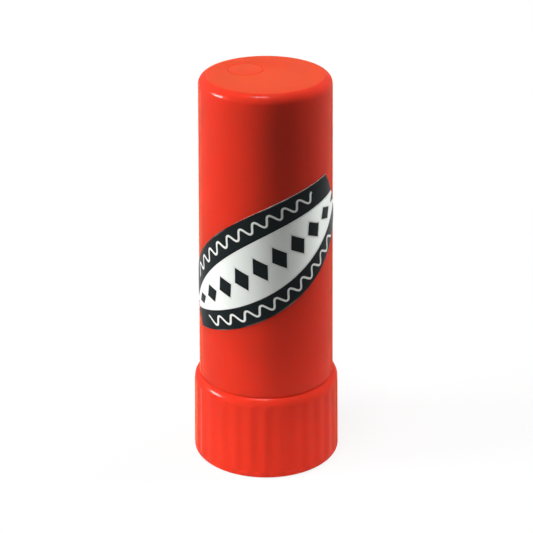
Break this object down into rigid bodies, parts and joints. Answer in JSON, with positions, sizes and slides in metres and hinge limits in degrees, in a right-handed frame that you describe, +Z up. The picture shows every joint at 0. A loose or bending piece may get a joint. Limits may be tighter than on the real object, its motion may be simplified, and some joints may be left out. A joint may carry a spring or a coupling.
{
  "type": "twist-up hot melt glue stick",
  "caption": "Twist-up stick of hot melt glue: a finely ribbed base turns a lead screw that lifts the glue out of an inner barrel, under a long tapered pull-off cap with a slanted sticker.",
  "frame": {"origin": "centre of the foot, on the surface that the stick stands on", "axes": "+Z up along the axis of the tube, -Y towards the front of the sticker, +X to the viewer's right"},
  "size_m": [0.0204, 0.0204, 0.0551],
  "materials": {
    "cap_plastic": "glossy moulded red plastic",
    "base_plastic": "glossy moulded red plastic",
    "barrel_plastic": "satin moulded red plastic",
    "inner_plastic": "satin natural white plastic",
    "glue": "waxy, slightly see-through",
    "label_film": "printed film, black with a silver panel"
  },
  "bodies": {
    "base": {"twist_base": "base_plastic", "spindle": "inner_plastic"},
    "barrel": {"barrel": "barrel_plastic"},
    "carrier": {"carrier": "inner_plastic", "glue_slug": "glue"},
    "cap": {"cap": "cap_plastic", "label": "label_film"}
  },
  "joints": [
    {"name": "barrel_turn", "type": "hinge", "parent": "base", "child": "barrel", "pos_m": [0, 0, 0.005], "axis": [0, 0, 1], "range_deg": [0, 1800]},
    {"name": "carrier_rise", "type": "slide", "parent": "barrel", "child": "carrier", "axis": [0, 0, 1], "range_m": [0, 0.02]},
    {"name": "cap_pull", "type": "slide", "parent": "barrel", "child": "cap", "axis": [0, 0, 1], "range_m": [0, 0.045]}
  ],
  "couplings": [
    {"joint": "barrel_turn", "follows": "carrier_rise", "rad_per_m": 1570.8}
  ]
}
